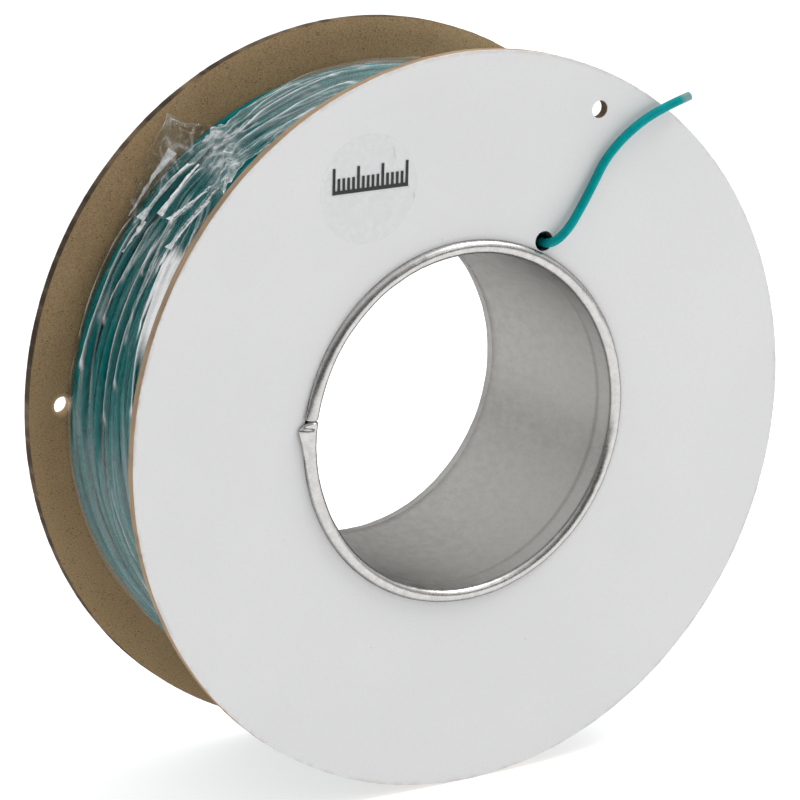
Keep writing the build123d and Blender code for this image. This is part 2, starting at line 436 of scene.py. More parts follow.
def tinplate(name):
    """Tinned steel sheet: satin and mottled in the bore, burnished where it is curled. Its colour is
    painted darker in the bore, as shade inside the tube, than on the curl.
    """
    p = Paint(name)
    away = p.from_axis()
    curl = p.ramp(away, (bore_r + 0.32) * MM, (bore_r + 0.75) * MM)
    mottle = p.noise(420, 4, 0.6, p.stretch((1, 0.55, 1)), 0.3)
    spangle = p.noise(1300, 4, 0.7)
    drawn = p.noise(900, 3, 0.6, p.stretch((0.12, 2.4, 0.12)))
    colour = p.mix(p.ramp(mottle, 0.28, 0.72), (0.335, 0.330, 0.316), (0.405, 0.399, 0.382))
    colour = p.mix(p.ramp(spangle, 0.5, 0.75, 0.0, 0.4), colour, (0.24, 0.236, 0.225))
    # painted shade: the bore gets a darker colour than the curl, for the shade inside the tube
    colour = p.mix(curl, colour, p.mix(p.ramp(mottle, 0.3, 0.7), (0.47, 0.462, 0.45), (0.56, 0.55, 0.54)))
    satin = p.ramp(mottle, 0.25, 0.75, 0.34, 0.44)
    burnished = p.ramp(spangle, 0.3, 0.8, 0.25, 0.33)
    in_bore = p.times(satin, p.math("SUBTRACT", 1.0, curl))
    rough = p.plus(in_bore, p.times(burnished, curl))
    height = p.plus(p.times(mottle, 0.5), p.times(spangle, 0.4))
    height = p.plus(height, p.times(drawn, 0.35))
    normal = p.bump(height, 0.00007, 0.5)
    dull = (0.35, 0.35, 0.35, 1.0)
    return p.done(p.principled(colour, rough, normal, Metallic=1.0, Specular_Tint=dull))


def insulation(name, low, high, tip=None):
    """Coloured PVC: even colour with faint streaks, scuffs and dust; the tip may be worn pale."""
    p = Paint(name)
    streak = p.noise(260, 4, 0.6, p.stretch((1, 1.6, 1)))
    scuff = p.ramp(p.noise(900, 5, 0.7), 0.62, 0.78)
    colour = p.mix(p.ramp(streak, 0.3, 0.7), low, high)
    colour = p.mix(p.times(scuff, 0.12), colour, (0.05, 0.33, 0.35))
    rough = p.ramp(p.noise(420, 3), 0.3, 0.7, 0.22, 0.34)
    if tip is not None:
        worn = p.ramp(p.vector("DISTANCE", p.at, tip), 0.0046, 0.0022)
        worn = p.times(worn, p.ramp(p.noise(700, 3), 0.2, 0.6, 0.65, 1.0))
        colour = p.mix(worn, colour, (0.22, 0.34, 0.34))
    height = p.plus(p.times(p.noise(300, 3), 0.6), p.times(scuff, 0.2))
    normal = p.bump(height, 0.00006, 0.5)
    return p.done(p.principled(colour, rough, normal, Specular_IOR_Level=0.09))


def clear_film(name, gloss):
    """Clear plastic: see-through, glossy, and white where it is creased; the white also paints the
    highlights on its folds.
    """
    p = Paint(name)
    white_and_highlight = p.node("Attribute", attribute_name="white_and_highlight").outputs["Fac"]
    fine = p.noise(700, 5, 0.65, p.stretch((0.8, 2.4, 0.8)), 0.8)
    normal = p.bump(fine, 0.00012, 0.2)
    see = p.plain("BsdfTransparent", (0.955, 0.985, 0.985))
    diffuse_white_and_highlight = p.plain("BsdfDiffuse", (0.955, 0.96, 0.97))
    shine = p.plain("BsdfGlossy", (1.0, 1.0, 1.0))
    p.fill(shine, Roughness=p.ramp(p.noise(240, 3), 0.3, 0.7, 0.06, 0.2))
    facing = p.node("LayerWeight")
    p.fill(facing, Blend=0.35)
    for made in (diffuse_white_and_highlight, shine, facing):
        p.fill(made, Normal=normal)
    # painted highlight: the white read from the mesh is a diffuse white, for milky creases and for
    # highlights
    white_share_and_highlight = p.times(white_and_highlight, p.ramp(fine, 0.25, 0.7, 0.85, 1.06))
    body = p.blend(p.math("MINIMUM", white_share_and_highlight, 0.95), see.outputs[0], diffuse_white_and_highlight.outputs[0])
    shine_amount = p.math("MINIMUM", p.times(facing.outputs["Fresnel"], gloss), 0.9)
    return p.done(p.blend(shine_amount, body, shine.outputs[0]))


def sticker(name):
    """Clear sticker: almost all see-through, with a faint dusty sheen."""
    p = Paint(name)
    dust = p.noise(500, 4, 0.6)
    normal = p.bump(p.noise(120, 3), 0.0002, 0.5)
    see = p.plain("BsdfTransparent", (0.998, 1.0, 1.0))
    rough = p.ramp(dust, 0.3, 0.7, 0.2, 0.34)
    film = p.principled((0.80, 0.81, 0.82), rough, normal, Specular_IOR_Level=0.5)
    return p.done(p.blend(p.ramp(dust, 0.3, 0.7, 0.03, 0.07), see.outputs[0], film))


def ink(name):
    """Printed black, a little patchy."""
    p = Paint(name)
    patch = p.noise(1400, 4, 0.6)
    colour = p.mix(p.ramp(patch, 0.35, 0.75), (0.010, 0.010, 0.011), (0.032, 0.032, 0.034))
    normal = p.bump(patch, 0.00003, 0.4)
    return p.done(p.principled(colour, p.ramp(patch, 0.3, 0.7, 0.42, 0.6), normal, Specular_IOR_Level=0.4))


def conductor(name):
    """Bare copper."""
    p = Paint(name)
    grain = p.noise(1600, 4, 0.6)
    colour = p.mix(p.ramp(grain, 0.3, 0.7), (0.60, 0.32, 0.2), (0.80, 0.48, 0.32))
    rough = p.ramp(grain, 0.3, 0.7, 0.25, 0.4)
    return p.done(p.principled(colour, rough, p.bump(grain, 0.00003, 0.5), Metallic=1.0))


# -------- flanges

board_angles = np.arange(540) / 540 * 360


def rough_edge(seed, amount):
    """Moves a disc's points a little: a slightly uneven cut edge and a slightly uneven face."""

    def shape(r, y, a):
        turn = a / 360
        fine = ring_noise(turn, 420, seed)
        coarse = ring_noise(turn, 60, seed + 1)
        ragged = 0.5 * fine + 0.5 * coarse
        near_rim = smooth_step(r, flange_r - 1.0, flange_r)
        wave = ring_noise(turn, 5, seed + 2) * smooth_step(r, 60, flange_r)
        return r - amount * near_rim * (0.5 + 0.5 * ragged), y + 0.12 * wave

    return shape


def hollow(radius):
    """Depth of the hollow under the curl at a radius: the board gives way to the rolled sheet."""
    off = np.asarray(radius, float) - curl_centre_r
    return np.sqrt(np.maximum((curl_r + 0.05) ** 2 - off * off, 0))


def flange(end, seed, material_board, hole_angles):
    """A board with its paper. Both are built for the front and mirrored for the back."""
    front = end == "front"
    face = front_y if front else (lambda r: 0 * np.asarray(r, float) - hub_face_y)

    def board_face(r):
        pressed = np.where(np.asarray(r, float) < curl_outer_r, hollow(r) - paper_t, 0)
        return face(r) + paper_t + np.maximum(pressed, 0)

    edge = 0.3

    def rounded(t):
        """How far out and how far in a point lies on the rim's rounded edge."""
        turn = math.radians(t)
        return flange_r - edge + edge * math.sin(turn), edge * (1 - math.cos(turn))

    dip = np.linspace(board_hole_r, curl_outer_r + 0.4, 12)
    profile = [(r, float(board_face(r))) for r in dip]
    profile += [(r, float(board_face(r))) for r in np.linspace(curl_outer_r + 2, flange_r - edge, 10)]
    rim_y = float(face(flange_r)) + paper_t
    for t in (45.0, 90.0):
        out, inward = rounded(t)
        profile.append((out, rim_y + 0.4 * inward))
    for t in np.linspace(0.12, 0.88, 5):
        profile.append((flange_r, rim_y + board_t * t))
    for t in (90.0, 45.0, 0.0):
        out, inward = rounded(t)
        profile.append((out, rim_y + board_t - inward))
    profile += [(r, float(face(r)) + paper_t + board_t) for r in np.linspace(flange_r - 6, board_hole_r, 9)]
    board = revolve(f"flange_board_{end}", profile, board_angles, rough_edge(seed, 0.22))

    sheet_edge = flange_r - 0.04
    profile = [(r, float(face(r))) for r in np.linspace(curl_outer_r + 0.02, sheet_edge - 0.12, 10)]
    profile += [(sheet_edge, float(face(flange_r)) + depth) for depth in (0.1, paper_t)]
    profile += [(r, float(face(r)) + paper_t) for r in np.linspace(sheet_edge - 3, curl_outer_r + 0.02, 9)]
    liner = revolve(f"flange_liner_{end}", profile, board_angles, rough_edge(seed, 0.16))

    places = (around(core_hole_r, hole_angles[0]), around(rim_hole_r, hole_angles[1]))
    for obj in (board, liner):
        cutters = []
        for at, hole_r in zip(places, (core_hole_d / 2, rim_hole_d / 2)):
            cutters.append(cylinder("cutter", at, hole_r, -60, -20))
        cut(obj, cutters)
        if not front:
            obj.data.transform(Matrix.Scale(-1, 4, (0, 1, 0)))
            obj.data.flip_normals()
    place(board, material_board, f"{end}_chipboard", f"{end}_board")
    place(liner, white_paper, "white_paper", f"{end}_paper")


white_paper = paper("white_liner_paper")
back_hole = around(rim_hole_r, back_hole_angle)
front_board_paint = chipboard(
    "front_board_brown",
    srgb(127, 108, 92),
    srgb(96, 78, 62),
    srgb(146, 126, 108),
    srgb(168, 142, 114),
)
back_board_paint = chipboard(
    "back_board_grey",
    srgb(172, 146, 109),
    srgb(134, 110, 77),
    srgb(187, 161, 124),
    srgb(58, 43, 28),
    (*back_hole, rim_hole_d / 2),
)
flange("front", 31, front_board_paint, (front_core_hole_angle, front_rim_hole_angle))
flange("back", 47, back_board_paint, (back_hole_angle, back_hole_angle))

# -------- core


def core_half(end_depth, step_width, bead):
    """The rolled sheet from a curl's lip to the middle: points on its bore side and on its outer side.

    The end is wider over end_depth. bead is the height of a small bead beside the step.
    """
    bore_side, outer_side = [], []
    steps = 26
    for k in range(steps, -1, -1):
        t = math.radians(180 + curl_sweep * k / steps)
        c, s = math.cos(t), math.sin(t)
        bore_side.append((curl_centre_r + curl_r * c, -hub_face_y + curl_r * s))
        outer_side.append((curl_centre_r + (curl_r - sheet_t) * c, -hub_face_y + (curl_r - sheet_t) * s))
    step_y = hub_face_y - end_depth
    for y in np.linspace(-hub_face_y, -step_y - step_width / 2, 6)[1:-1]:
        bore_side.append((bore_r + end_expansion, y))
        outer_side.append((bore_r + end_expansion + sheet_t, y))
    for k in range(0, 6):
        w = smooth_step(k / 5, 0, 1)
        y = -step_y + step_width * (k / 5 - 0.5)
        dip = bead * math.exp(-((k - 1) ** 2))
        bore_side.append((bore_r + end_expansion * (1 - w) + dip, y))
        outer_side.append((bore_r + sheet_t + end_expansion * (1 - w) + dip, y))
    for y in np.linspace(-step_y + step_width / 2, 0, 9)[1:]:
        bore_side.append((bore_r, y))
        outer_side.append((bore_r + sheet_t, y))
    return bore_side, outer_side


def core_profile():
    """Closed profile of the rolled sheet: along the bore to the back, and back along the outside."""
    front_bore, front_outer = core_half(end_length, 2.4, 0.0)
    back_bore, back_outer = core_half(2.5, 0.3, 0.16)
    bore = front_bore + [(r, -y) for r, y in back_bore[:-1]][::-1]
    outside = front_outer + [(r, -y) for r, y in back_outer[:-1]][::-1]
    return bore + outside[::-1]


seam_bulge = 2.7
seam_fine = np.linspace(-7, 7, 113)
seam_coarse = np.linspace(7, 353, 440)[1:-1]
core_angles = np.concatenate([seam_fine, seam_coarse]) + seam_angle


def core_shape(r, y, a):
    """Uneven curl, and the seam: a groove in the bore and a notch in both curls."""
    off = (a - seam_angle + 180) % 360 - 180
    turn = (a % 360) / 360
    past_face = smooth_step(np.abs(y), hub_face_y - 1.0, hub_face_y + 0.3)
    in_curl = np.clip(past_face + smooth_step(r, bore_r + 0.9, bore_r + 1.6), 0, 1)
    uneven = 0.05 * ring_noise(turn, 46, 5) + 0.04 * ring_noise(turn, 150, 6)
    centre_y = np.sign(y) * hub_face_y
    dr, dy = r - curl_centre_r, y - centre_y
    reach = np.hypot(dr, dy)
    near_curl = (reach < curl_r + 0.3) & (np.abs(y) > hub_face_y - 2.2)
    outside = smooth_step(dr, -1.2, 1.0)
    slit = np.exp(-((off - 0.15 * dr) / 0.28) ** 2)
    fold = np.exp(-((off - 1.9) / 0.75) ** 2) * outside
    end_lip = smooth_step(-off, -0.2, 0.3) * np.exp(off / 2.2)
    change = uneven * 0.5 - 0.34 * slit - 0.24 * fold - 0.07 * np.clip(end_lip, 0, 1)
    # the folded layers push the curl out over the paper, most just past the slit
    past = smooth_step(off, 0.15, 2.6) * np.exp(-((np.maximum(off - 2.6, 0) / 6.0) ** 1.3))
    before = 0.35 * smooth_step(-off, 0.1, 0.5) * np.exp(np.minimum(off, 0) / 5.0)
    over_paper = smooth_step(dr, 0.0, 1.7) * smooth_step(np.sign(centre_y) * dy, 0.1, 0.9)
    bulge = seam_bulge * (past + before) * over_paper
    squeeze = np.where(near_curl, 1 + in_curl * change, 1)
    r = np.where(near_curl, curl_centre_r + dr * squeeze, r)
    y = np.where(near_curl, centre_y + dy * squeeze, y)
    r = np.where(near_curl, r + bulge, r)
    # in the bore one edge of the sheet lies a little deeper than the other
    step = 0.12 * smooth_step(off, 0.0, 0.3) * smooth_step(-off, -6, -2)
    groove = 0.28 * np.exp(-((off / 0.22) ** 2)) + step
    straight = 1 - smooth_step(np.abs(y), hub_face_y - 4.0, hub_face_y - 2.2)
    ripple = 0.03 * lattice_noise(turn, (y + 40) / 80, 14, 6, 8)
    return r + straight * (groove + ripple), y


core = revolve("rolled_core", core_profile(), core_angles, core_shape, sharp=50)
outward(core)
place(core, tinplate("tinned_steel"), "tinplate", "core_tube")

# -------- winding

wire_length = 150e3
turn_steps = 72


def wind():
    """Lays the wire turn by turn: each turn settles in the hollows of what lies under it.

    Returns a list of (y, radius) arrays, one per turn, and the winding's top as y values and radii, in
    millimetres. pitch is the guide's travel per turn, reach is how far a turn looks sideways for a
    hollow, and slack is how loosely it lies.
    """
    draw = np.random.default_rng(7)
    pitch, cell, wander, reach, slack = 3.4, 0.15, 0.3, 1.05, 0.10
    start_r = bore_r + sheet_t + end_expansion + 0.1
    ys = np.arange(-34, 31.5, cell)
    surface = np.full((turn_steps, len(ys)), start_r)
    # the wire's half-width in cells, and the shape of its upper side
    k = int(wire_r / cell)
    u = np.arange(-k, k + 1) * cell
    cap = np.sqrt(wire_r * wire_r - u * u)
    m = int(reach / cell)
    offsets = np.arange(-m, m + 1) * cell
    waves = [(f, draw.uniform(0, 2 * np.pi), size) for f, size in ((0.37, 1.0), (0.81, 0.8), (1.63, 0.5))]
    aim_y = place_y = -inner_half + wire_r + 0.1
    way, laid, turn, mean_r, last_r = 1, 0.0, 0, start_r + wire_r, None
    turns = []
    rows = np.arange(turn_steps)[:, None]
    while laid < wire_length:
        low = float(front_y(mean_r)) + paper_t + board_t + wire_r + 0.15
        high = inner_half - wire_r - 0.15
        even = 1 + 0.06 * math.sin(turn * 0.7) + draw.normal(0, 0.03)
        y = np.empty(turn_steps)
        for i in range(turn_steps):
            # the guide lingers a little at both ends of its travel
            at_back = math.exp(-(((aim_y - high) / 5) ** 2))
            at_front = math.exp(-(((aim_y - low) / 4) ** 2))
            aim_y += way * pitch * even * (1 - 0.30 * at_back - 0.12 * at_front) / turn_steps
            if aim_y > high:
                aim_y, way = high, -1
            elif aim_y < low:
                aim_y, way = low, 1
            run = turn + i / turn_steps
            drift = wander * sum(size * math.sin(2 * math.pi * f * run + q) for f, q, size in waves)
            goal = min(max(aim_y + drift, low), high)
            j = min(max(int(round((goal - ys[0]) / cell)), m + k), len(ys) - 1 - m - k)
            below = surface[i, j - m - k : j + m + k + 1]
            rest = (sliding_window_view(below, 2 * k + 1) + cap).max(axis=1)
            spots = ys[j] + offsets
            cost = rest + 0.25 * (spots - place_y) ** 2 + 0.12 * (spots - goal) ** 2
            cost[(spots < low - 1e-6) | (spots > high + 1e-6)] = 1e9
            want = spots[int(np.argmin(cost))]
            place_y = min(max(place_y + min(max(want - place_y, -0.3), 0.3), low), high)
            y[i] = place_y
        y[1:-1] = (y[:-2] + 2 * y[1:-1] + y[2:]) / 4
        middle = np.round((y - ys[0]) / cell).astype(int)
        index = np.clip(middle[:, None] + np.arange(-k, k + 1)[None, :], 0, len(ys) - 1)
        under = surface[rows, index]
        rest = (under + cap[None, :]).max(axis=1)
        lifted = np.maximum(rest, 0.5 * (np.roll(rest, 1) + np.roll(rest, -1)))
        radius = (np.roll(lifted, 1) + 2 * lifted + np.roll(lifted, -1)) / 4 + slack
        if last_r is not None:
            t = smooth_step(np.linspace(0, 1, 5), 0, 1)
            radius[:5] = last_r * (1 - t) + radius[:5] * t
        last_r, mean_r = radius[-1], radius.mean()
        surface[rows, index] = np.maximum(under, radius[:, None] + cap[None, :])
        turns.append((y, radius))
        laid += math.hypot(2 * math.pi * mean_r, pitch)
        turn += 1
    print(f"wound {len(turns)} turns, {laid / 1000:.1f} m, outermost crest {surface.max():.2f} mm")
    return turns, ys, surface


def wire_mesh(name, turns, steps, sides):
    """One tube along these turns, which follow each other, closed at both ends.

    steps is the number of rings in a turn and sides the number of points in a ring.
    """
    y = np.concatenate([t[0] for t in turns])
    r = np.concatenate([t[1] for t in turns])
    run = np.arange(len(y))
    fine = np.linspace(0, len(y) - 1, int((len(y) - 1) * steps / turn_steps) + 1)
    y, r = np.interp(fine, run, y), np.interp(fine, run, r)
    angle = fine / turn_steps * 2 * np.pi
    centre_out = np.stack([np.cos(angle), 0 * angle, np.sin(angle)], -1)
    t = np.arange(sides) / sides * 2 * np.pi + math.pi / 2
    ring_r = r[:, None] + wire_r * np.sin(t)[None, :]
    ring_y = y[:, None] + wire_r * np.cos(t)[None, :]
    points = centre_out[:, None, :] * ring_r[:, :, None]
    points[:, :, 1] = ring_y
    return make_mesh(name, points.reshape(-1, 3), tube_faces(len(fine), sides))


turns, top_ys, top_r = wind()
shown_turns = 84                                      # the last turns, which show through the film
# painted shade: the wound turns get a darker teal than the tail, as shade among the turns and under the
# film
teal = insulation("teal_insulation", (0.0, 0.132, 0.134), (0.0, 0.19, 0.186))
inner = wire_mesh("winding_inner_turns", turns[: -shown_turns], 60, 5)
outer = wire_mesh("winding_outer_turns", turns[-shown_turns:], 132, 9)
for obj in (inner, outer):
    place(obj, teal, "wire_insulation", "wire_winding")

# -------- stretch film

film_r = 95.75
film_rows, film_columns = 560, 148
film_gap = 0.25
film_low = float(front_y(film_r)) + paper_t + board_t + film_gap
film_high = inner_half - film_gap
film_lift = 0.22                # the film's height over the crests
least_film_r = 91.0

# the film is drawn together along a slanting line across the winding
gather_y = 7.0
gather_angle = 126.3
gather_slant = -3.39            # degrees from the film's middle to its back edge
gather_share = 0.5              # how much of its width the film loses there


def blurred_top():
    """The winding's top as the film sees it: it bridges the gaps between crests."""
    reach = 11

    def moved(table):
        """Copies of the table, moved along y by up to reach cells either way."""
        padded = np.pad(table, ((0, 0), (reach, reach)), "edge")
        return [padded[:, k : k + len(top_ys)] for k in range(2 * reach + 1)]

    padded = np.pad(top_r, ((2, 2), (0, 0)), "wrap")
    best = np.max([padded[k : k + len(top_r)] for k in range(5)], axis=0)
    best = np.max(moved(best), axis=0)
    kernel = np.hanning(2 * reach + 3)[1:-1]
    kernel /= kernel.sum()
    soft = sum(share * copy for share, copy in zip(kernel, moved(best)))
    soft = (np.roll(soft, 1, 0) + 2 * soft + np.roll(soft, -1, 0)) / 4
    return np.maximum(soft, 0)


film_under = blurred_top()


def under_film(a, y):
    """Radius of the winding's crests under the film at these angles and y values."""
    i = np.asarray(a) % 360 / 360 * turn_steps
    i0 = np.floor(i).astype(int) % turn_steps
    i1 = (i0 + 1) % turn_steps
    f = i - np.floor(i)
    j = np.clip((np.asarray(y) - top_ys[0]) / (top_ys[1] - top_ys[0]), 0, len(top_ys) - 1.001)
    j0 = np.floor(j).astype(int)
    g = j - j0
    low = film_under[i0, j0] * (1 - f) + film_under[i1, j0] * f
    high = film_under[i0, j0 + 1] * (1 - f) + film_under[i1, j0 + 1] * f
    return low * (1 - g) + high * g


def film_angles():
    """Angles packed closer where the film is gathered."""
    t = np.linspace(0, 1, 4001)
    a = t * 360
    near = np.abs((a - 138 + 180) % 360 - 180)
    density = 1 + 2.6 * np.exp(-((near / 42) ** 2))
    total = np.concatenate([[0], np.cumsum(0.5 * (density[1:] + density[:-1]))])
    total /= total[-1]
    return np.interp(np.arange(film_rows) / film_rows, total, a)


def turned(a, middle):
    """Angle from middle to a, from -180 to 180 degrees."""
    return (a - middle + 180) % 360 - 180


# long folds: start angle, start y, end angle, end y, half width, height, whiteness (milky crease and
# painted highlight). The first eleven run down from the gather and the last five run over the top
main_folds = [
    (129.0, 17.5, 142.5, 20.0, 0.75, 1.2, 0.75),
    (129.0, 12.0, 141.0, 13.2, 0.7, 1.1, 0.7),
    (131.0, 0.5, 141.5, 7.5, 0.7, 1.0, 0.8),
    (131.5, -4.0, 145.0, -0.5, 0.7, 1.0, 0.8),
    (132.5, -8.0, 143.5, -9.5, 0.5, 0.8, 0.6),
    (142.0, 19.6, 171.0, 20.8, 0.7, 0.8, 0.65),
    (143.0, 9.6, 179.0, 8.4, 0.7, 0.8, 0.6),
    (141.0, 14.5, 162.0, 15.5, 0.5, 0.7, 0.5),
    (144.0, 3.0, 172.0, 3.6, 0.6, 0.7, 0.5),
    (142.0, 24.5, 166.0, 26.5, 0.5, 0.5, 0.6),
    (143.0, -3.0, 176.0, -7.0, 0.6, 0.6, 0.6),
    (123.5, 12.0, 97.0, 18.0, 0.6, 0.7, 0.6),
    (123.0, 16.0, 104.0, 20.5, 0.5, 0.6, 0.55),
    (124.5, 8.0, 96.0, 9.5, 0.6, 0.7, 0.5),
    (125.5, 3.0, 101.0, 0.5, 0.6, 0.7, 0.55),
    (127.0, -2.0, 106.0, -9.5, 0.5, 0.6, 0.5),
]


def small_folds():
    """Finer folds that fan out from the gather, and long shallow ones round the rest of the winding."""
    draw = np.random.default_rng(57)
    made = []

    def fanned(away, spread, share):
        """Y of a fold this many degrees from the gather; share is its place across the film."""
        opened = min(away / spread, 1)
        return gather_y * (1 - opened) + share * (14 + 15 * opened)

    for _ in range(58):
        side = 1 if draw.random() < 0.6 else -1
        share = draw.uniform(-0.95, 0.95)
        near = draw.uniform(2, 16)
        far = near + draw.uniform(6, 26)
        spread = 30 if side > 0 else 38
        line = [gather_angle + side * near, fanned(near, spread, share)]
        line += [gather_angle + side * far, fanned(far, spread, share)]
        made.append(line + [draw.uniform(0.3, 0.55), draw.uniform(0.2, 0.65), draw.uniform(0.08, 0.42)])
    for _ in range(70):
        start = draw.uniform(165, 445)
        y = draw.uniform(-29, 29)
        length = draw.uniform(12, 45)
        line = [start, y, start + length, y + draw.uniform(-2.5, 2.5)]
        made.append(line + [draw.uniform(0.35, 0.7), draw.uniform(0.12, 0.4), draw.uniform(0.05, 0.3)])
    return made


def film():
    """The wrap: points, faces and whiteness of the film laid over the winding's crests; the whiteness is
    milky creases and painted highlights.
    """
    a, v = grid(film_angles(), np.linspace(-1, 1, film_columns))
    turn, w = a / 360, (v + 1) / 2
    middle, half = (film_low + film_high) / 2, (film_high - film_low) / 2
    off = turned(a, gather_angle + gather_slant * v)
    pull = np.exp(-((off / np.where(off > 0, 11.0, 19.0)) ** 2))
    centre = middle + (gather_y - middle) * pull
    y = centre + half * (1 - gather_share * pull) * v
    # the front edge is drawn in further just above the gather and leaves some turns bare
    y = y + 7.0 * np.exp(-(((off + 6.0) / 7.0) ** 2)) * smooth_step(-v, 0.2, 1.0)
    torn = ring_noise(turn, 150, 71)
    ragged = torn + 0.6 * ring_noise(turn, 420, 72) + 0.8
    y = y - ragged * (1.1 * pull + 0.15) * np.sign(v) * smooth_step(np.abs(v), 0.85, 1.0)
    near = np.exp(-((off / np.where(off > 0, 38.0, 40.0)) ** 2))
    height, white_and_highlight = 0 * a, 0 * a
    for a0, y0, a1, y1, wide, tall, fold_white_and_highlight in main_folds + small_folds():
        length = abs(a1 - a0)
        t = turned(a, a0) * (1 if a1 > a0 else -1) / length
        inside = (t > 0) & (t < 1)
        if not inside.any():
            continue
        t = np.clip(t, 0, 1)
        sway = 0.5 * np.sin(t * 7 + y0)
        away = y - (y0 + (y1 - y0) * t + sway)
        taper = smooth_step(t, 0, 0.12) * smooth_step(1 - t, 0, 0.10)
        fan = 1 + 2.4 * smooth_step(t, 0.88, 0.97)
        ridge = np.exp(-((away / (wide * fan)) ** 2))
        # painted highlight: each fold is whitened along one flank, off its ridge
        flank = np.exp(-(((away - 0.35 * wide) / (0.62 * wide * fan)) ** 2))
        height = np.maximum(height, inside * taper * tall * ridge)
        white_and_highlight = np.maximum(white_and_highlight, inside * taper * min(1.35 * fold_white_and_highlight, 1.0) * flank)
    bend = 0.05 * lattice_noise(turn, w, 18, 3, 12)
    s = np.clip(w + bend, 0, 1)
    streak = lattice_noise(turn, s, 34, 46, 21)
    fine = lattice_noise(turn, s, 90, 96, 22)
    height += (0.05 + 0.28 * near) * (1 - np.abs(streak)) ** 3 + 0.10 * near * fine
    # partly milky haze and partly painted sheen: white bands on two sides of the winding, and along streaks
    whitish_sheen = 0.12 * smooth_step(turned(a, 172) + 12 * streak, 0, 14) * smooth_step(-turned(a, 236), 0, 20)
    whitish_sheen += 0.09 * smooth_step(-turned(a, 121) + 5 * streak, 0, 6) * smooth_step(turned(a, 60), 0, 20)
    whitish_sheen += (0.06 + 0.14 * near) * smooth_step(streak + 0.35 * fine, 0.3, 0.9)
    white_and_highlight += whitish_sheen
    # crumpled web on the gathering line
    web = np.exp(-((off / 3.6) ** 2))
    crumple = lattice_noise(turn, w, 330, 22, 24)
    speckle = lattice_noise(turn, w, 520, 44, 25)
    height += web * (0.8 + 0.9 * crumple + 0.5 * speckle)
    height += 0.3 * np.exp(-((off / 9.0) ** 2)) * np.abs(speckle)
    white_and_highlight += web * (0.05 + 0.45 * np.abs(crumple) + 0.30 * np.abs(speckle))
    # a broad painted highlight beside the front flange: a white patch with torn-looking edges
    line = -0.5 - (a - 144) * 0.25
    patch = smooth_step(a, 143.5, 147.5) * smooth_step(-a, -167, -158)
    patch *= smooth_step(line + 3.5 * streak - y, -1.0, 1.0)
    patch *= smooth_step(y - (line - 10.0 - 3 * fine), -1.0, 1.0)
    white_and_highlight += 0.95 * patch
    white_and_highlight += 0.4 * smooth_step(np.abs(v), 0.975, 0.995) * (0.3 + 0.7 * pull)
    r = np.maximum(under_film(a, y), least_film_r) + film_lift + np.maximum(height, -0.1)
    faces = grid_faces(film_rows, film_columns, True, False, flip=True)
    return round_points(r, y, a), faces, np.clip(white_and_highlight, 0, 1).ravel()


def loose_fold(start, end, y_start, y_end, r_start, r_end, wide_start, wide_end, tilt, seed):
    """A narrow doubled edge of film standing free of the winding, with a small facet at its end."""
    steps, columns = 70, 10
    t, v = grid(np.linspace(0, 1, steps), np.linspace(-1, 1, columns))
    waist = 1 - 0.45 * np.sin(np.pi * t)
    half = (wide_start + (wide_end - wide_start) * t) / 2 * waist
    n1 = lattice_noise(t * 0.9, (v + 1) / 2, 9, 2, seed)
    n2 = lattice_noise(t * 0.9, (v + 1) / 2, 30, 4, seed + 1)
    a = start + (end - start) * t
    lean = math.radians(tilt)
    y = y_start + (y_end - y_start) * t + half * v * math.cos(lean) + 0.35 * n1
    r = r_start + (r_end - r_start) * t + half * v * math.sin(lean) + 0.3 * np.abs(v) * half + 0.12 * n2
    r = np.maximum(r, under_film(a, y) + 0.4)
    # the doubled edge is white: milky film and painted highlight
    white_and_highlight = np.clip(0.8 + 0.3 * n1 + 0.25 * n2, 0.3, 1)
    y = np.minimum(y, inner_half - 0.15)
    return round_points(r, y, a), grid_faces(steps, columns, flip=True), white_and_highlight.ravel()


def standing_flap():
    """The loose clear end of the film, which stands up against the back board beside the gather."""
    steps, columns = 64, 30
    low, high, root_y = 121.0, 143.5, 20.0
    t, v = grid(np.linspace(0, 1, steps), np.linspace(0, 1, columns))
    a = low + (high - low) * t
    edge_angles = (low, 124.6, 126, 128, 130, 132.3, 135, 138, 141, high)
    edge_radii = (95.5, 102.5, 108.2, 106.0, 104.6, 104.0, 101.4, 99.8, 98.0, 96.2)
    top = np.interp(a, edge_angles, edge_radii) + 0.4 * lattice_noise(t * 0.9, 0 * v, 26, 1, 401)
    # folds run from the gather towards the free edge
    fan = np.clip((a - low) / (high - low) * 0.8 + 0.2 * v, 0, 1)
    n1 = lattice_noise(0.9 * fan, v, 13, 2, 403)
    n2 = lattice_noise(0.9 * fan, v, 34, 9, 404)
    base_r = under_film(a, 22 + 0 * a) + 0.3
    r = base_r + (top - base_r) * v
    y = root_y + (inner_half - 0.35 - root_y) * smooth_step(v, -0.1, 0.7)
    y = y - (1.1 * np.abs(n1) + 0.5 * np.abs(n2)) * smooth_step(v, 0.0, 0.3)
    crown = np.exp(-(((a - 126.3) / 1.6) ** 2)) * smooth_step(v, 0.55, 0.9)
    # white along the folds and at the crumpled crown: milky film and painted highlight
    white_and_highlight = 0.32 * (1 - np.abs(n1)) ** 16 + 0.2 * (1 - np.abs(n2)) ** 14
    white_and_highlight += 0.22 * smooth_step(v, 0.95, 1.0) + crown * np.abs(n2) * 0.9
    return round_points(r, y, a), grid_faces(steps, columns, flip=True), np.clip(white_and_highlight, 0, 1).ravel()


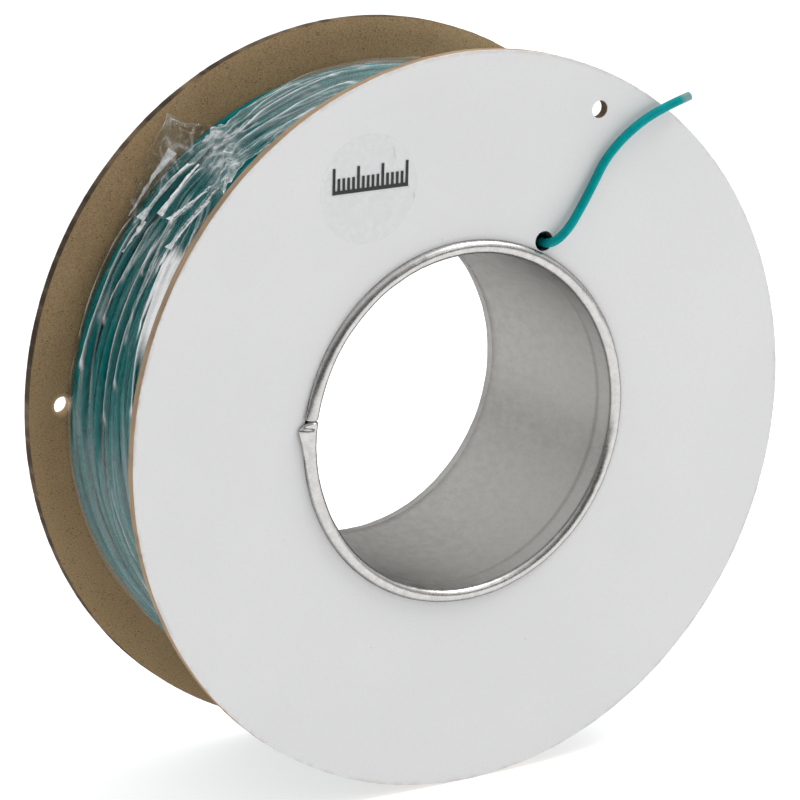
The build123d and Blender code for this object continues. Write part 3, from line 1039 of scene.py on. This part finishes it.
# start and end angle, y at both, radius at both, width at both, tilt in degrees, seed
loose_folds = (
    (129.6, 142.8, 26.0, 28.6, 99.4, 96.4, 3.6, 0.7, 35, 301),
    (130.0, 142.6, 18.6, 20.4, 96.9, 96.6, 0.8, 3.4, 20, 311),
    (129.4, 140.6, 13.6, 13.0, 96.9, 96.6, 0.8, 2.8, 15, 321),
    (133.6, 140.8, -0.6, 7.0, 96.8, 96.6, 0.7, 2.2, 15, 331),
    (135.0, 145.4, -5.6, -1.4, 96.8, 96.6, 0.7, 2.4, 15, 341),
    (142.6, 149.0, 18.4, 19.6, 96.8, 96.4, 2.6, 0.6, 10, 351),
)
parts = [film(), standing_flap()] + [loose_fold(*item) for item in loose_folds]
film_points = np.vstack([points for points, _, _ in parts])
starts = np.cumsum([0] + [len(points) for points, _, _ in parts[:-1]])
film_faces = np.vstack([faces + start for (_, faces, _), start in zip(parts, starts)])
film_obj = make_mesh("film_wrap", film_points, film_faces)
# the film's white: milky creases and painted highlights
attribute = film_obj.data.attributes.new("white_and_highlight", "FLOAT", "POINT")
white_and_highlight_values = np.concatenate([white_and_highlight for _, _, white_and_highlight in parts])
attribute.data.foreach_set("value", white_and_highlight_values.astype(np.float32))
place(film_obj, clear_film("clear_stretch_film", 0.28), "clear_film", "stretch_film")

# -------- sticker and its scale

for node, paint, slot_name in (
    ("length_label", sticker("clear_sticker"), "clear_label"),
    ("label_print", ink("scale_ink"), "black_ink"),
):
    obj = frame["nodes"][node]
    obj.data.materials.clear()
    obj.data.materials.append(paint)

# -------- the wire's inner end

tail_points = [
    (27.7, -30.6, 50.1),
    (27.7, -35.8, 50.1),
    (32.7, -36.9, 54.1),
    (37.1, -36.9, 60.1),
    (41.4, -37.0, 67.0),
    (45.7, -37.5, 74.9),
    (54.0, -38.2, 82.4),
    (64.0, -38.7, 87.6),
    (73.9, -39.1, 90.4),
]
line = bpy.data.curves.new("tail_line", "CURVE")
line.dimensions = "3D"
line.resolution_u = 24
spline = line.splines.new("NURBS")
spline.points.add(len(tail_points) - 1)
for point, at in zip(spline.points, tail_points):
    point.co = (*(c * MM for c in at), 1.0)
spline.order_u = 3
spline.use_endpoint_u = True
line_obj = bpy.data.objects.new("tail_line", line)
bpy.context.scene.collection.objects.link(line_obj)
bpy.context.view_layer.update()
route = np.array([v.co for v in line_obj.to_mesh().vertices]) / MM
bpy.data.objects.remove(line_obj)


def along(route, stations):
    """Points and crosswise axes on a route, at these distances from its start."""
    gaps = np.linalg.norm(np.diff(route, axis=0), axis=1)
    keep = np.concatenate([[True], gaps > 1e-6])
    route = route[keep]
    run = np.concatenate([[0], np.cumsum(np.linalg.norm(np.diff(route, axis=0), axis=1))])
    stations = np.clip(stations, 0, run[-1])

    def point_at(distance):
        return np.stack([np.interp(distance, run, route[:, k]) for k in range(3)], -1)

    centre = point_at(stations)
    way = point_at(stations + 0.15) - point_at(stations - 0.15)
    way /= np.linalg.norm(way, axis=1)[:, None]
    side = np.cross(way, (0.0, 0.0, 1.0) + 0 * way)
    side = np.where(np.linalg.norm(side, axis=1)[:, None] < 1e-3, (1.0, 0.0, 0.0), side)
    side /= np.linalg.norm(side, axis=1)[:, None]
    return centre, side, np.cross(side, way)


def lathe_along(name, route, stations, radii, sides, closed):
    """Rings of these radii at these stations along the route, joined in order.

    closed joins the last ring to the first, for a hollow tube.
    """
    centre, side, up = along(route, np.asarray(stations, float))
    t = np.arange(sides) / sides * 2 * np.pi
    ring = side[:, None, :] * np.cos(t)[None, :, None] + up[:, None, :] * np.sin(t)[None, :, None]
    points = centre[:, None, :] + ring * np.asarray(radii, float)[:, None, None]
    count = len(radii)
    faces = grid_faces(count, sides, True, True) if closed else tube_faces(count, sides)
    return outward(make_mesh(name, points.reshape(-1, 3), faces, sharp=40))


tail_length = float(np.linalg.norm(np.diff(route, axis=0), axis=1).sum())
conductor_r, hollow_r, rounding = 0.65, 0.7, 0.45
body = np.linspace(0, tail_length - rounding, 150)
round_off = np.radians(np.linspace(0, 90, 7))[1:]
tip_stations = tail_length - rounding + rounding * np.sin(round_off)
tip_radii = wire_r - rounding * (1 - np.cos(round_off))
stations = np.concatenate([body, tip_stations, [tail_length - 0.5], body[::-1][1:]])
radii = np.concatenate([np.full(len(body), wire_r), tip_radii, np.full(len(body), hollow_r)])
tail = lathe_along("tail_insulation", route, stations, radii, 28, True)
tip_at = tuple(route[-1] * MM)
tail_teal = insulation("teal_insulation_tail", (0.0, 0.245, 0.255), (0.0, 0.29, 0.30), tip_at)
place(tail, tail_teal, "wire_insulation", "wire_tail")
strand_body = np.linspace(0, tail_length - 0.2, 120)
strand_stations = np.append(strand_body, [tail_length - 0.1, tail_length - 0.04])
strand_radii = np.append(np.full(len(strand_body), conductor_r), [conductor_r - 0.08, conductor_r - 0.25])
strand = lathe_along("tail_strand", route, strand_stations, strand_radii, 20, False)
place(strand, conductor("copper_clad_conductor"), "conductor", "tail_conductor")

# -------- floor, lights and camera

floor_reach = 6.0 / MM
corners = [(x * floor_reach, y * floor_reach, 0) for x, y in ((-1, -1), (1, -1), (1, 1), (-1, 1))]
floor = make_mesh("floor", corners, [(0, 1, 2, 3)], smooth=False)
floor.location.z = cad_low.z
p = Paint("pale_floor")
shade = p.mix(p.ramp(p.noise(3, 3), 0.3, 0.7), (0.54, 0.54, 0.54), (0.57, 0.57, 0.57))
glow = {"Emission_Color": (1.0, 1.0, 1.0, 1.0), "Emission_Strength": 0.66}
floor.data.materials.append(p.done(p.principled(shade, 0.9, Specular_IOR_Level=0.1, **glow)))

# the studio is darkest behind the camera and lightest above and behind the spool
studio = Paint("studio", world=True)
toward = studio.vector("DOT_PRODUCT", studio.at, (0.30, 0.62, 0.72))
background = studio.plain("Background", (1.0, 1.0, 1.0))
studio.fill(background, Strength=studio.ramp(toward, -0.50, 0.85, 0.06, 1.2))
bpy.context.scene.world = studio.done(background.outputs[0])


def softbox(name, at, size, size_y, power):
    """A rectangular light that faces the spool's middle. at is in metres, power in watts."""
    light = bpy.data.lights.new(name, "AREA")
    light.shape = "RECTANGLE"
    light.size, light.size_y, light.energy = size, size_y, power
    obj = bpy.data.objects.new(name, light)
    obj.location = at
    obj.rotation_euler = (-Vector(at)).to_track_quat("-Z", "Y").to_euler()
    obj.visible_camera = False
    bpy.context.scene.collection.objects.link(obj)


softbox("key_above", (0.75, -0.30, 1.10), 0.6, 0.5, 10.0)
softbox("front_right", (0.9, -1.5, 1.0), 0.7, 0.7, 2.2)

aim = Vector((-0.00288, -0.0013, -0.00044))
azimuth, elevation, distance = math.radians(-30.93), math.radians(15.32), 1.137
eye = aim + distance * Vector(
    (math.sin(azimuth) * math.cos(elevation), -math.cos(azimuth) * math.cos(elevation), math.sin(elevation))
)
camera_data = bpy.data.cameras.new("camera")
camera_data.sensor_width = 36.0
camera_data.lens = 171.5
camera_data.clip_start, camera_data.clip_end = 0.01, 50.0
camera = bpy.data.objects.new("camera", camera_data)
camera.location = eye
camera.rotation_euler = (aim - eye).to_track_quat("-Z", "Y").to_euler()
bpy.context.scene.collection.objects.link(camera)
bpy.context.scene.camera = camera
bpy.context.scene.view_settings.view_transform = "Standard"
